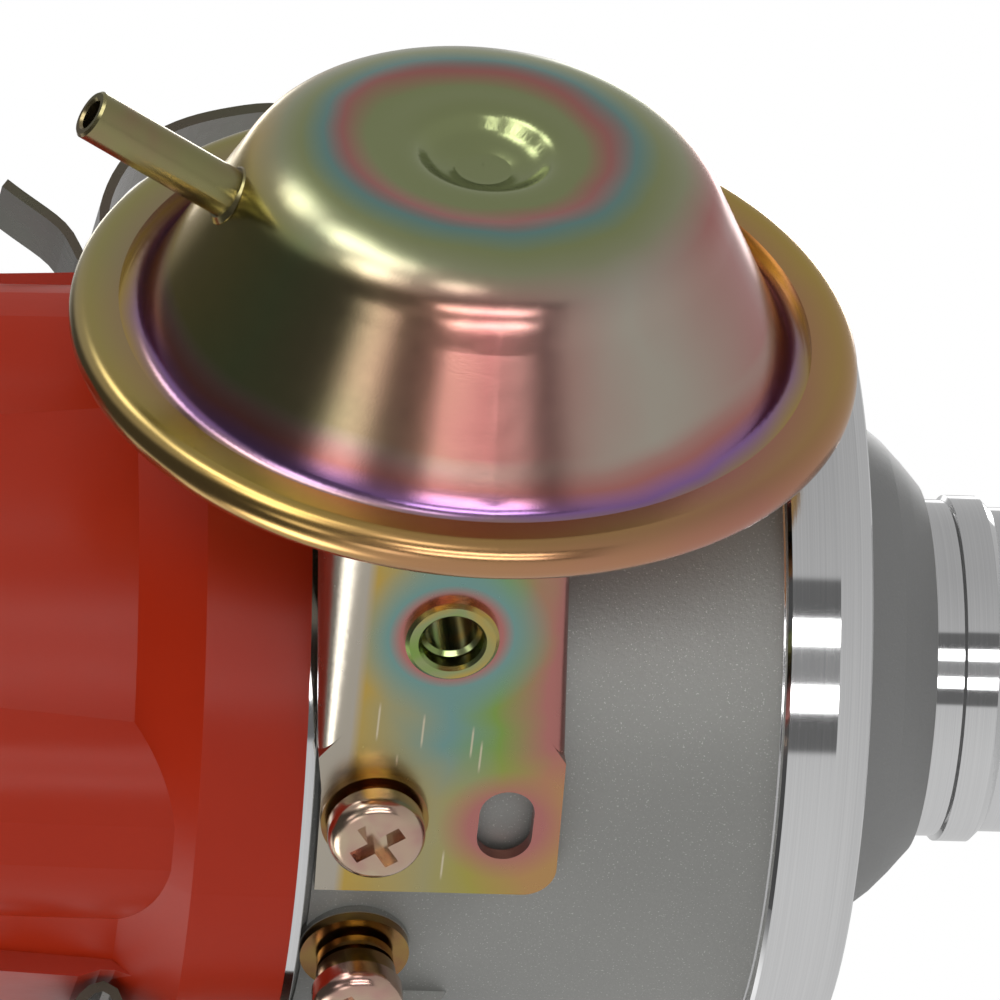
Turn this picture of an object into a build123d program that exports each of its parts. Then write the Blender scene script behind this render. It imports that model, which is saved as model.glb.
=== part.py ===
from build123d import *
import math
import os

os.makedirs("parts", exist_ok=True)

# Vacuum and centrifugal advance ignition distributor, millimetres.
# Z runs up the shaft to the cap, X is square to the vacuum bracket, Y runs out through the canister.
# The origin is where the shank meets the collar that sits on the engine.

# Housing
SHANK_R = 13.5
SHANK_L = 44.0
COLLAR_R = 14.4
COLLAR_H = 5.8
BORE_R = 8.0
HUB_R = 11.0
HUB_TOP = 25.0
UPPER_BUSH_L = 21.0
LOWER_BUSH_L = 20.0
FLOOR_Z = 24.0
BACK_Z = 14.1
CONE_R = 22.6
BOWL_R = 31.4
BAND_R = BOWL_R + 1.9
BAND_LOW = 17.1
BAND_TOP = 21.3
BOWL_LOW_IN = BOWL_R - 4.2
BOWL_IN = BOWL_R - 2.5
SEAT_IN = BOWL_R - 1.8
LEDGE_Z = 44.0
BOSS_R = 3.2
BOSS_H = 7.0
BOSSES = ((25.2, 120), (25.2, 300))
SEAT_Z = 56.5
RIM_Z = 59.5
RIM_T = 0.8
GROOVE_R = 11.9
GROOVE_Z = -12.6
GROOVE_W = 2.6
SEAL_R = 0.78

# Window for the leads, with its grommet
WINDOW_AT = 232.0
WINDOW_Z = 51.5
WINDOW_W = 12.0
WINDOW_H = 7.0
GROMMET_LIP = 1.5
GROMMET_T = 1.4
LEAD_R = 1.6
LEAD_C = 3.0

# Fits
RUN = 0.04
LOOSE = 0.3
AXIAL = 0.1

# Drive line
SHAFT_R = 6.2
SPINDLE_R = 4.0
SPINDLE_TOP = 60.0
FELT_L = 2.5
THRUST_R = 10.0
THRUST_T = 0.9
PLATE_Z = HUB_TOP + AXIAL + THRUST_T
PLATE_T = 1.6
PLATE_R = 25.0
PIVOT_R = 19.0
PIN_R = 2.2
WEIGHT_Z = 28.0
WEIGHT_T = 5.0
WEIGHT_IN = 9.8
WEIGHT_OUT = 21.0
WEIGHT_START = -35
WEIGHT_END = 92
NOSE_R = 7.6
NOSE_PIN = 1.5
CAM_Z = 34.0
CAM_T = 1.6
CAM_R = 13.0
SLEEVE_R = 5.6
SLEEVE_L = 29.0
NECK_R = 5.0
NECK_AT = 22.3
KEY_AT = 26.5
SPRING_Z = 37.5
COIL_IN = 1.2
COIL_OUT = 1.55
COIL_TURNS = 9
WIRE_W = 0.6
POST_R = 1.2
POST_TOP = 1.6
ANCHOR = (20.0, 122.0)
CAM_POST = (11.0, 68.0)
ADVANCE_TRAVEL = 2.6
DOG_R = 10.0
DOG_TOP = -SHANK_L - AXIAL - THRUST_T
DOG_H = 7.0
DOG_PIN = 1.5
TONGUE_W = 5.0
TONGUE_H = 4.5

# Pickup
BEARING_T = 1.5
COLLAR_IN = 8.5
COLLAR_OUT = 10.5
PICKUP_T = 1.4
PICKUP_R = 21.5
ROD_X = 17.5
ROD_Y = -1.1
ROD_PIN = 2.0
ROD_SLOT_Y = 20.0
MODULE_H = 7.6
MODULE_STEP = 3.0
MODULE_SCREWS = ((17.5, 180), (17.5, 240))
MODULE_SCREW_R = 1.2
PLATE_SCREW_R = 1.5
TRIGGER_Z = 49.0
TRIGGER_H = 5.0
TRIGGER_R = 12.0
TRIGGER_HUB = 8.6
TOOTH_W = 4.0
SHIELD_IN = 10.0
SHIELD_T = 0.7

# Cap
SKIRT_TOP = 67.8
SKIRT_R = BAND_R - 0.1
BARREL_Z = 72.9
BARREL_R = 29.2
BARREL_WALL = 3.0
SPIGOT_GAP = 0.15
DECK_Z = 94.0
DECK_R = 28.0
ROOF_Z = 86.0
TOWER_AT = (6.0, 96.0, 186.0, 276.0)
TOWER_C = 21.0
TOWER_R = 8.0
TOWER_TOP = 116.0
CENTRE_TOP = 119.0
SOCKET_R = 4.0
SOCKET_Z = 98.0
BULGE_C = 19.6
BULGE_R = 12.4
TERMINAL_R = 2.0
CONTACT_R = 2.6
BRUSH_R = 2.55
LUG_R = 29.8
LUG_W = 14.0
LUG_TOP = 86.0
BLADE_Z = 72.0
TERMINAL_TIP = BLADE_Z - 2.0
ROTOR_L = 30.0
ROTOR_W = 13.0
ROTOR_T = 4.6
BLADE_L = 22.6
BLADE_W = 6.0
BLADE_T = 1.0

# Spring clips
CLIP_AT = (142.0, -38.0)
HINGE_R = BOWL_R + 3.4
HINGE_Z = 50.6
HINGE_PIN = 1.2
CLIP_T = 0.8
CLIP_W = 10.0
CLIP_STEPS = 54
EAR_T = 2.2
VEE_Z = 73.2

# Vacuum bracket
BRACKET_X = BOWL_R + 0.5
BRACKET_T = 1.2
BRACKET_Y0 = 0.8
BRACKET_Y1 = 36.3
BEND_Y = 14.0
PLATE_LOW = (38.7, 58.0)
PLATE_MID = (39.1, 58.8)
PLATE_HIGH = (40.9, 60.3)
RIM_CLEAR = 58.3
SCREW_1 = (8.4, 53.9)
SCREW_STACK = 1.5
SLOT = (7.7, 43.3)
SLOT_L = 6.7
SLOT_W = 4.4
EYELET = (26.2, 49.4)
EYELET_BORE = 2.1
EYELET_R = 3.1
EYELET_L = 5.0
SEAT_DISC_R = 11.5
SCREW_R = 2.0

# Vacuum canister
CAN_X = 17.5
CAN_Y = 44.1
CAN_Z = 48.9
CAN_R = 31.1
ROLL_C = 29.4
LIP_R = 27.3
SHELL_T = 1.0
CAN_HOLE_R = 4.5
CAN_SEAT_R = 14.0
DOME_T = 0.8
TOP_H = 18.0
SHOULDER_R = 19.9
SHOULDER_H = 12.0
NIPPLE_R = 2.0
BEAD_R = 2.6
BEAD_T = 1.6
NIPPLE_BORE = 1.2
NIPPLE_NECK = 1.6
NIPPLE_L = 13.9
NIPPLE_H = 12.35
NIPPLE_OUT = 19.1
NIPPLE_TILT = 58.3
RUBBER_IN = 24.6
DIAPHRAGM_R = 23.6
STUD_R = 1.8
CUP_R = 12.0
CUP_T = 0.8

# Side screw
SIDE_AT = -12.0
SIDE_Z = 54.0
PAD_FACE = BOWL_R + 0.3
PAD_R = 4.5
SIDE_STACK = 4.4


def polar(r, deg):
    return (r * math.cos(math.radians(deg)), r * math.sin(math.radians(deg)))


def at_polar(places):
    """Points given as (radius, degrees), as x and y."""
    return [polar(r, deg) for r, deg in places]


def upright(deg):
    """Plane through the shaft axis: local x is radial, local y is up."""
    c, s = polar(1.0, deg)
    return Plane(origin=(0, 0, 0), x_dir=(c, s, 0), z_dir=(s, -c, 0))


def outward(deg, r, z):
    """Plane facing away from the shaft axis, at radius r and height z."""
    c, s = polar(1.0, deg)
    return Plane(origin=(c * r, s * r, z), x_dir=(-s, c, 0), z_dir=(c, s, 0))


def lathe(points, base=Plane.XY):
    """Body of revolution about the normal of base, from (radius, height) points."""
    with BuildPart() as turned:
        with BuildSketch(Plane(origin=base.origin, x_dir=base.x_dir, z_dir=-base.y_dir)):
            with BuildLine():
                Polyline(points, close=True)
            make_face()
        revolve(axis=Axis(base.origin, base.z_dir))
    return turned.part


def inset(points, depth):
    """The points of a section's outer line, moved in by depth along its normals."""
    moved = []
    for i, (x, y) in enumerate(points):
        before, after = points[max(i - 1, 0)], points[min(i + 1, len(points) - 1)]
        dx, dy = after[0] - before[0], after[1] - before[1]
        run = math.hypot(dx, dy)
        moved.append((x - depth * dy / run, y + depth * dx / run))
    return moved


def rod(plane, r, start, end):
    """Plain round bar along the plane's normal, from start to end."""
    with BuildPart() as bar:
        with BuildSketch(plane.offset(start)):
            Circle(r)
        extrude(amount=end - start)
    return bar.part


def pan_screw(plane, head_at, head_r, head_h, shank_l, shank_r=SCREW_R):
    """Cross-recess pan head screw: the head's underside is head_at above the plane."""
    with BuildPart() as screw:
        with BuildSketch(plane.offset(head_at)):
            Circle(head_r)
        extrude(amount=head_h)
        fillet(screw.edges().group_by(Axis(plane.origin, plane.z_dir))[-1], head_h * 0.55)
        with BuildSketch(plane.offset(head_at + head_h)):
            Rectangle(head_r * 1.15, head_r * 0.3, rotation=35)
            Rectangle(head_r * 0.3, head_r * 1.15, rotation=35)
        extrude(amount=-head_h * 0.55, mode=Mode.SUBTRACT)
        with BuildSketch(plane.offset(head_at)):
            Circle(shank_r)
        extrude(amount=-shank_l)
    return screw.part


def washer(plane, inner, outer, start, end):
    with BuildPart() as ring:
        with BuildSketch(plane.offset(start)):
            Circle(outer)
            Circle(inner, mode=Mode.SUBTRACT)
        extrude(amount=end - start)
    return ring.part


# Housing: shank, collar, cone, machined band and bowl in one casting
bracket_plane = Plane(origin=(BRACKET_X, 0, 0), x_dir=(0, 1, 0), z_dir=(1, 0, 0))
side_plane = outward(SIDE_AT, PAD_FACE, SIDE_Z)
window_plane = outward(WINDOW_AT, 0, WINDOW_Z)
rim_low = RIM_Z - RIM_T
groove_low = GROOVE_Z - GROOVE_W / 2
groove_high = GROOVE_Z + GROOVE_W / 2
with BuildPart() as housing:
    with BuildSketch(Plane.XZ):
        with BuildLine():
            Polyline(
                (0, -SHANK_L), (SHANK_R - 0.8, -SHANK_L), (SHANK_R, -SHANK_L + 0.8),
                (SHANK_R, groove_low), (GROOVE_R, groove_low), (GROOVE_R, groove_high),
                (SHANK_R, groove_high), (SHANK_R, 0), (COLLAR_R - 0.8, 0), (COLLAR_R, 0.8),
                (COLLAR_R, COLLAR_H - 2.4), (COLLAR_R - 0.4, COLLAR_H - 2.2), (COLLAR_R - 0.4, COLLAR_H),
                (COLLAR_R + 1.1, COLLAR_H + 0.3), (CONE_R - 5.2, BACK_Z - 6.3),
                (CONE_R - 3.7, BACK_Z - 4.8), (CONE_R, BACK_Z), (BAND_R - 2.1, BACK_Z),
                (BAND_R - 1.6, BACK_Z + 0.2),
                (BAND_R - 0.7, BACK_Z + 1.2), (BAND_R, BAND_LOW), (BAND_R, BAND_TOP - 0.3),
                (BAND_R - 0.3, BAND_TOP), (BOWL_R, BAND_TOP), (BOWL_R, rim_low - 0.7),
                (BOWL_R - 0.5, rim_low - 0.7), (BOWL_R - 0.5, rim_low), (BAND_R, rim_low), (BAND_R, RIM_Z),
                (0, RIM_Z), close=True,
            )
        make_face()
    revolve(axis=Axis.Z)
    # Pads for the bracket screw and the side screw
    with BuildSketch(bracket_plane):
        with Locations(SCREW_1):
            Circle(4.2)
    extrude(amount=-6)
    with BuildSketch(side_plane):
        Circle(PAD_R)
    extrude(amount=-4)
    # Hinge ears for the two spring clips
    for angle in CLIP_AT:
        for side in (1, -1):
            with BuildSketch(upright(angle).offset(side * (CLIP_W / 2 + 0.4 + EAR_T / 2))):
                with BuildLine():
                    Polyline(
                        (BOWL_R - 1.2, HINGE_Z - 5.0), (HINGE_R, HINGE_Z - 2.4),
                        (HINGE_R + 2.2, HINGE_Z - 1.2), (HINGE_R + 2.2, HINGE_Z + 1.2),
                        (HINGE_R, HINGE_Z + 2.4), (BOWL_R - 1.2, HINGE_Z + 3.4), close=True,
                    )
                make_face()
            extrude(amount=EAR_T / 2, both=True)
        with BuildSketch(upright(angle)):
            with Locations((HINGE_R, HINGE_Z)):
                Circle(HINGE_PIN)
        extrude(amount=CLIP_W, both=True, mode=Mode.SUBTRACT)
    # Inside: bowl, plate ledge, cap seat and the bush bore
    with BuildSketch(Plane.XZ):
        with BuildLine():
            Polyline(
                (0, -SHANK_L - 1), (BORE_R, -SHANK_L - 1), (BORE_R, HUB_TOP), (HUB_R, HUB_TOP),
                (HUB_R, FLOOR_Z), (BOWL_LOW_IN - 1.5, FLOOR_Z), (BOWL_LOW_IN, FLOOR_Z + 1.5),
                (BOWL_LOW_IN, LEDGE_Z), (BOWL_IN, LEDGE_Z), (BOWL_IN, SEAT_Z), (SEAT_IN, SEAT_Z),
                (SEAT_IN, RIM_Z + 1), (0, RIM_Z + 1), close=True,
            )
        make_face()
    revolve(axis=Axis.Z, mode=Mode.SUBTRACT)
    # Bosses under the bearing plate, with their tapped holes
    with BuildSketch(Plane.XY.offset(LEDGE_Z)):
        with Locations(*at_polar(BOSSES)):
            Circle(BOSS_R)
    extrude(amount=-BOSS_H)
    with BuildSketch(Plane.XY.offset(LEDGE_Z)):
        with Locations(*at_polar(BOSSES)):
            Circle(PLATE_SCREW_R)
    extrude(amount=1 - BOSS_H, mode=Mode.SUBTRACT)
    # Screw holes, pull rod slot and lead window
    with BuildSketch(bracket_plane):
        with Locations(SCREW_1):
            Circle(SCREW_R)
    extrude(amount=-8, mode=Mode.SUBTRACT)
    with BuildSketch(side_plane):
        Circle(SCREW_R)
    extrude(amount=-8, mode=Mode.SUBTRACT)
    with BuildSketch(Plane(origin=(ROD_X, ROD_SLOT_Y, CAN_Z), x_dir=(1, 0, 0), z_dir=(0, 1, 0))):
        SlotOverall(11, 5)
    extrude(amount=BOWL_R - ROD_SLOT_Y, mode=Mode.SUBTRACT)
    with BuildSketch(window_plane.offset(BOWL_IN - 4)):
        Rectangle(WINDOW_W, WINDOW_H)
    extrude(amount=10, mode=Mode.SUBTRACT)
housing.part.label = "housing"
export_step(housing.part, "parts/housing.step")

# Bushes, shank seal and lead grommet
upper_low = HUB_TOP - UPPER_BUSH_L
upper_bush = lathe([
    (SHAFT_R + RUN, upper_low), (BORE_R, upper_low), (BORE_R, HUB_TOP), (SHAFT_R + RUN, HUB_TOP),
])
upper_bush.label = "upper_bush"
export_step(upper_bush, "parts/upper_bush.step")

lower_top = LOWER_BUSH_L - SHANK_L
lower_bush = lathe([
    (SHAFT_R + RUN, -SHANK_L), (BORE_R, -SHANK_L), (BORE_R, lower_top), (SHAFT_R + RUN, lower_top),
])
lower_bush.label = "lower_bush"
export_step(lower_bush, "parts/lower_bush.step")

with BuildPart() as o_ring:
    with BuildSketch(Plane.XZ):
        with Locations((GROOVE_R + SEAL_R, GROOVE_Z)):
            Circle(SEAL_R)
    revolve(axis=Axis.Z)
o_ring.part.label = "o_ring"
export_step(o_ring.part, "parts/o_ring.step")

with BuildPart() as lead_grommet:
    with BuildSketch(window_plane.offset(BOWL_IN - 4)):
        Rectangle(WINDOW_W + 2 * GROMMET_LIP, WINDOW_H + 2 * GROMMET_LIP)
    extrude(amount=12)
    with BuildSketch(Plane.XY.offset(WINDOW_Z - WINDOW_W)):
        Circle(BOWL_R + GROMMET_T)
    extrude(amount=2 * WINDOW_W, mode=Mode.INTERSECT)
    with BuildSketch(Plane.XY.offset(WINDOW_Z - WINDOW_W)):
        Circle(BOWL_R)
    extrude(amount=2 * WINDOW_W, mode=Mode.SUBTRACT)
    with BuildSketch(window_plane.offset(BOWL_IN - 1.9)):
        Rectangle(WINDOW_W, WINDOW_H)
    extrude(amount=4.8)
    with BuildSketch(window_plane.offset(BOWL_IN - 4)):
        with Locations((-LEAD_C, 0), (LEAD_C, 0)):
            Circle(LEAD_R)
    extrude(amount=12, mode=Mode.SUBTRACT)
lead_grommet.part.label = "lead_grommet"
export_step(lead_grommet.part, "parts/lead_grommet.step")

# Drive shaft with its upper spindle
plate_top = PLATE_Z + PLATE_T
dog_pin_z = DOG_TOP - DOG_H / 2
with BuildPart() as drive_shaft:
    with BuildSketch(Plane.XZ):
        with BuildLine():
            Polyline(
                (0, DOG_TOP - DOG_H), (SHAFT_R - 0.6, DOG_TOP - DOG_H), (SHAFT_R, DOG_TOP - DOG_H + 0.6),
                (SHAFT_R, plate_top), (SPINDLE_R, plate_top), (SPINDLE_R, SPINDLE_TOP - 0.6),
                (SPINDLE_R - 0.6, SPINDLE_TOP), (0, SPINDLE_TOP), close=True,
            )
        make_face()
    revolve(axis=Axis.Z)
    with BuildSketch(Plane.XZ):
        with Locations((0, dog_pin_z)):
            Circle(DOG_PIN)
    extrude(amount=2 * DOG_R, both=True, mode=Mode.SUBTRACT)
drive_shaft.part.label = "drive_shaft"
export_step(drive_shaft.part, "parts/drive_shaft.step")

# Offset drive dog and its cross pin
with BuildPart() as drive_dog:
    with BuildSketch(Plane.XY.offset(DOG_TOP)):
        Circle(DOG_R)
    extrude(amount=-DOG_H)
    with BuildSketch(Plane.XY.offset(DOG_TOP - DOG_H)):
        Rectangle(2 * DOG_R, TONGUE_W)
        Circle(DOG_R, mode=Mode.INTERSECT)
    extrude(amount=-TONGUE_H)
    with BuildSketch(Plane.XY.offset(DOG_TOP)):
        Circle(SHAFT_R)
    extrude(amount=-DOG_H, mode=Mode.SUBTRACT)
    with BuildSketch(Plane.XZ):
        with Locations((0, dog_pin_z)):
            Circle(DOG_PIN)
    extrude(amount=2 * DOG_R, both=True, mode=Mode.SUBTRACT)
drive_dog.part.label = "drive_dog"
export_step(drive_dog.part, "parts/drive_dog.step")

dog_pin_plane = Plane(origin=(0, 0, dog_pin_z), x_dir=(1, 0, 0), z_dir=(0, 1, 0))
dog_pin = rod(dog_pin_plane, DOG_PIN, LOOSE - DOG_R, DOG_R - LOOSE)
dog_pin.label = "dog_pin"
export_step(dog_pin, "parts/dog_pin.step")

# Thrust washers above the bush and under the housing
thrust_washers = Compound(children=[
    washer(Plane.XY, SHAFT_R + AXIAL, THRUST_R, HUB_TOP + AXIAL, PLATE_Z),
    washer(Plane.XY, SHAFT_R + AXIAL, THRUST_R, DOG_TOP, -SHANK_L - AXIAL),
])
thrust_washers.label = "thrust_washers"
export_step(thrust_washers, "parts/thrust_washers.step")

# Weight plate on the shaft, with the weight pivots and the spring anchors
pivots = (polar(PIVOT_R, 90), polar(PIVOT_R, 270))
anchors = (polar(*ANCHOR), polar(ANCHOR[0], ANCHOR[1] + 180))
with BuildPart() as weight_plate:
    with BuildSketch(Plane.XY.offset(PLATE_Z)):
        Circle(PLATE_R)
        Circle(SHAFT_R, mode=Mode.SUBTRACT)
        with Locations(*pivots):
            Circle(PIN_R, mode=Mode.SUBTRACT)
        with Locations(*anchors):
            Circle(POST_R, mode=Mode.SUBTRACT)
        with Locations(polar(15, 0), polar(15, 180)):
            Circle(3.5, mode=Mode.SUBTRACT)
    extrude(amount=PLATE_T)
weight_plate.part.label = "weight_plate"
export_step(weight_plate.part, "parts/weight_plate.step")

with BuildPart() as weight_pins:
    with BuildSketch(Plane.XY.offset(PLATE_Z)):
        with Locations(*pivots):
            Circle(PIN_R)
    extrude(amount=WEIGHT_Z + WEIGHT_T + 1.6 - PLATE_Z)
weight_pins.part.label = "weight_pins"
export_step(weight_pins.part, "parts/weight_pins.step")

with BuildPart() as spring_posts:
    with BuildSketch(Plane.XY.offset(PLATE_Z)):
        with Locations(*anchors):
            Circle(POST_R)
    extrude(amount=SPRING_Z + POST_TOP - PLATE_Z)
spring_posts.part.label = "spring_posts"
export_step(spring_posts.part, "parts/spring_posts.step")

# Two flyweights, each with a nose pin that turns the cam plate
for name, turn in (("flyweight_a", 0), ("flyweight_b", 180)):
    with BuildPart() as flyweight:
        with BuildSketch(Plane.XY.offset(WEIGHT_Z)):
            with BuildLine():
                for r in (WEIGHT_IN, WEIGHT_OUT):
                    CenterArc((0, 0), r, WEIGHT_START, WEIGHT_END - WEIGHT_START)
                for end in (WEIGHT_START, WEIGHT_END):
                    Line(polar(WEIGHT_IN, end), polar(WEIGHT_OUT, end))
            make_face()
            with Locations((0, PIVOT_R)):
                Circle(4.6)
            with Locations((0, (PIVOT_R + NOSE_R) / 2)):
                Rectangle(6, PIVOT_R - NOSE_R)
            with Locations((0, NOSE_R)):
                Circle(3.0)
            with Locations((0, PIVOT_R)):
                Circle(PIN_R + RUN, mode=Mode.SUBTRACT)
        extrude(amount=WEIGHT_T)
        with BuildSketch(Plane.XY.offset(WEIGHT_Z + WEIGHT_T)):
            with Locations((0, NOSE_R)):
                Circle(NOSE_PIN)
        extrude(amount=3.4)
    weight = flyweight.part.rotate(Axis.Z, turn)
    weight.label = name
    export_step(weight, f"parts/{name}.step")

# Cam sleeve: slotted advance plate, spring posts and the sleeve that carries the rotor
with BuildPart() as cam_sleeve:
    with BuildSketch(Plane.XY.offset(CAM_Z)):
        Circle(CAM_R)
        with Locations((0, NOSE_R + 0.15), (0, -NOSE_R - 0.15)):
            SlotOverall(4.2, 2 * (NOSE_PIN + 0.2), rotation=90, mode=Mode.SUBTRACT)
    extrude(amount=CAM_T)
    with BuildSketch(Plane.XY.offset(CAM_Z)):
        Circle(SLEEVE_R)
    extrude(amount=NECK_AT)
    with BuildSketch(Plane.XY.offset(CAM_Z)):
        Circle(NECK_R)
    extrude(amount=SLEEVE_L)
    with BuildSketch(Plane.XY.offset(CAM_Z)):
        with Locations(polar(*CAM_POST), polar(CAM_POST[0], CAM_POST[1] + 180)):
            Circle(POST_R)
    extrude(amount=SPRING_Z + POST_TOP - CAM_Z)
    with BuildSketch(Plane.XY.offset(CAM_Z)):
        Circle(SPINDLE_R + RUN)
    extrude(amount=40, mode=Mode.SUBTRACT)
    with BuildSketch(Plane.XY.offset(CAM_Z + KEY_AT)):
        with Locations((NECK_R, 0)):
            Rectangle(2.0, 2.4)
    extrude(amount=3, mode=Mode.SUBTRACT)
cam_sleeve.part.label = "cam_sleeve"
export_step(cam_sleeve.part, "parts/cam_sleeve.step")

felt_wick = rod(Plane.XY, SPINDLE_R + RUN, SPINDLE_TOP + LOOSE, SPINDLE_TOP + LOOSE + FELT_L)
felt_wick.label = "felt_wick"
export_step(felt_wick, "parts/felt_wick.step")

# Return springs of the flyweights, with a long loop for the travel
ax, ay = polar(*ANCHOR)
bx, by = polar(*CAM_POST)
reach = math.hypot(bx - ax, by - ay)
for name, turn in (("advance_spring_a", 0), ("advance_spring_b", 180)):
    spring_plane = Plane(origin=(ax, ay, SPRING_Z), x_dir=(bx - ax, by - ay, 0), z_dir=(0, 0, 1))
    coil_start, coil_end = 3.0, reach - 3.2
    with BuildPart() as advance_spring:
        with BuildSketch(spring_plane):
            with BuildLine():
                step = (coil_end - coil_start) / COIL_TURNS
                teeth = [(coil_start, 0.0)]
                for i in range(COIL_TURNS):
                    crest = coil_start + i * step
                    teeth.append((crest, COIL_IN))
                    teeth += [(crest + step / 4, COIL_OUT), (crest + step * 3 / 4, COIL_OUT)]
                teeth += [(coil_end, COIL_IN), (coil_end, 0.0)]
                Polyline(teeth, close=True)
            make_face()
        revolve(axis=Axis((ax, ay, SPRING_Z), (bx - ax, by - ay, 0)))
        end_r = POST_R + LOOSE
        with BuildSketch(spring_plane.offset(-WIRE_W / 2)):
            Circle(POST_R + 0.75)
            with Locations((coil_start / 2 + 0.9, 0)):
                Rectangle(coil_start - 1.0, 0.8)
            Circle(POST_R + 0.15, mode=Mode.SUBTRACT)
            with Locations((reach + ADVANCE_TRAVEL / 2, 0)):
                SlotOverall(ADVANCE_TRAVEL + 2 * (end_r + WIRE_W), 2 * (end_r + WIRE_W))
                SlotOverall(ADVANCE_TRAVEL + 2 * end_r, 2 * end_r, mode=Mode.SUBTRACT)
            with Locations((coil_end + 0.7, 0)):
                Rectangle(1.6, 0.8)
        extrude(amount=WIRE_W)
    spring = advance_spring.part.rotate(Axis.Z, turn)
    spring.label = name
    export_step(spring, f"parts/{name}.step")

# Bearing plate, its screws and the ring that keeps the pickup plate down
bearing_top = LEDGE_Z + BEARING_T
with BuildPart() as bearing_plate:
    with BuildSketch(Plane.XY.offset(LEDGE_Z)):
        Circle(BOWL_IN)
        with Locations(*at_polar(BOSSES)):
            Circle(PLATE_SCREW_R, mode=Mode.SUBTRACT)
        with Locations(polar(25.0, 30), polar(25.0, 210)):
            Circle(2.2, mode=Mode.SUBTRACT)
    extrude(amount=BEARING_T)
    with BuildSketch(Plane.XY.offset(bearing_top)):
        Circle(COLLAR_OUT)
    extrude(amount=2.6)
    with BuildSketch(Plane.XY.offset(LEDGE_Z)):
        Circle(COLLAR_IN)
    extrude(amount=10, mode=Mode.SUBTRACT)
bearing_plate.part.label = "bearing_plate"
export_step(bearing_plate.part, "parts/bearing_plate.step")

plate_screws = Compound(children=[
    pan_screw(Plane((x, y, bearing_top)), 0, 2.8, 1.9, 6.5, PLATE_SCREW_R) for x, y in at_polar(BOSSES)
])
plate_screws.label = "plate_screws"
export_step(plate_screws, "parts/plate_screws.step")

pickup_z = bearing_top + AXIAL
pickup_top = pickup_z + PICKUP_T
retaining_ring = washer(Plane.XY, COLLAR_OUT, 12.2, pickup_top + AXIAL, pickup_top + AXIAL + 0.7)
retaining_ring.label = "retaining_ring"
export_step(retaining_ring, "parts/retaining_ring.step")

# Pickup plate with the pin that the pull rod hooks, and the sensor module
pin_at = (ROD_X, ROD_Y)
with BuildPart() as pickup_plate:
    with BuildSketch(Plane.XY.offset(pickup_z)):
        Circle(PICKUP_R)
        Circle(COLLAR_OUT + RUN, mode=Mode.SUBTRACT)
        with Locations(pin_at):
            Circle(ROD_PIN, mode=Mode.SUBTRACT)
        with Locations(*at_polar(MODULE_SCREWS)):
            Circle(MODULE_SCREW_R, mode=Mode.SUBTRACT)
    extrude(amount=PICKUP_T)
pickup_plate.part.label = "pickup_plate"
export_step(pickup_plate.part, "parts/pickup_plate.step")

with BuildPart() as rod_pin:
    with BuildSketch(Plane.XY.offset(pickup_z)):
        with Locations(pin_at):
            Circle(ROD_PIN)
    extrude(amount=7.0)
rod_pin.part.label = "rod_pin"
export_step(rod_pin.part, "parts/rod_pin.step")

with BuildPart() as pickup_module:
    with BuildSketch(Plane.XY.offset(pickup_top)):
        with BuildLine():
            near, far = TRIGGER_R + 0.8, PICKUP_R - 0.6
            CenterArc((0, 0), near, 190, 40)
            CenterArc((0, 0), far, 166, 88)
            Line(polar(near, 190), polar(far, 166))
            Line(polar(near, 230), polar(far, 254))
        make_face()
    extrude(amount=MODULE_H)
    with BuildSketch(Plane.XY.offset(pickup_top + MODULE_STEP)):
        with Locations(*at_polar(MODULE_SCREWS)):
            Circle(2.6)
    extrude(amount=MODULE_H, mode=Mode.SUBTRACT)
    with BuildSketch(Plane.XY.offset(pickup_top)):
        with Locations(*at_polar(MODULE_SCREWS)):
            Circle(MODULE_SCREW_R)
    extrude(amount=MODULE_H, mode=Mode.SUBTRACT)
pickup_module.part.label = "pickup_module"
export_step(pickup_module.part, "parts/pickup_module.step")

module_screws = Compound(children=[
    pan_screw(Plane((x, y, pickup_top + MODULE_STEP)), 0, 2.0, 1.5, 4.2, MODULE_SCREW_R)
    for x, y in at_polar(MODULE_SCREWS)
])
module_screws.label = "module_screws"
export_step(module_screws, "parts/module_screws.step")

# Four-tooth trigger ring on the cam sleeve
with BuildPart() as trigger_ring:
    with BuildSketch(Plane.XY.offset(TRIGGER_Z)):
        Circle(TRIGGER_HUB)
        with PolarLocations(0, 4):
            with Locations((TRIGGER_R - 2.2, 0)):
                Rectangle(4.4, TOOTH_W)
        Circle(TRIGGER_R, mode=Mode.INTERSECT)
        Circle(SLEEVE_R, mode=Mode.SUBTRACT)
    extrude(amount=TRIGGER_H)
trigger_ring.part.label = "trigger_ring"
export_step(trigger_ring.part, "parts/trigger_ring.step")

# Rotor arm with its brass blade
rotor_low = CAM_Z + NECK_AT
with BuildPart() as rotor_arm:
    with BuildSketch(Plane.XY.offset(rotor_low)):
        Circle(8.4)
    extrude(amount=BLADE_Z - rotor_low + 1 - ROTOR_T)
    with BuildSketch(Plane.XY.offset(BLADE_Z - ROTOR_T)):
        with Locations((2.0, 0)):
            SlotOverall(ROTOR_L, ROTOR_W)
    extrude(amount=ROTOR_T)
    with BuildSketch(Plane.XY.offset(rotor_low)):
        Circle(NECK_R + RUN / 2)
    extrude(amount=9.5, mode=Mode.SUBTRACT)
    with BuildSketch(Plane.XY.offset(CAM_Z + KEY_AT + 0.5)):
        with Locations((NECK_R + 0.4, 0)):
            Rectangle(1.6, 1.9)
    extrude(amount=4)
rotor_arm.part.label = "rotor_arm"
export_step(rotor_arm.part, "parts/rotor_arm.step")

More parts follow.
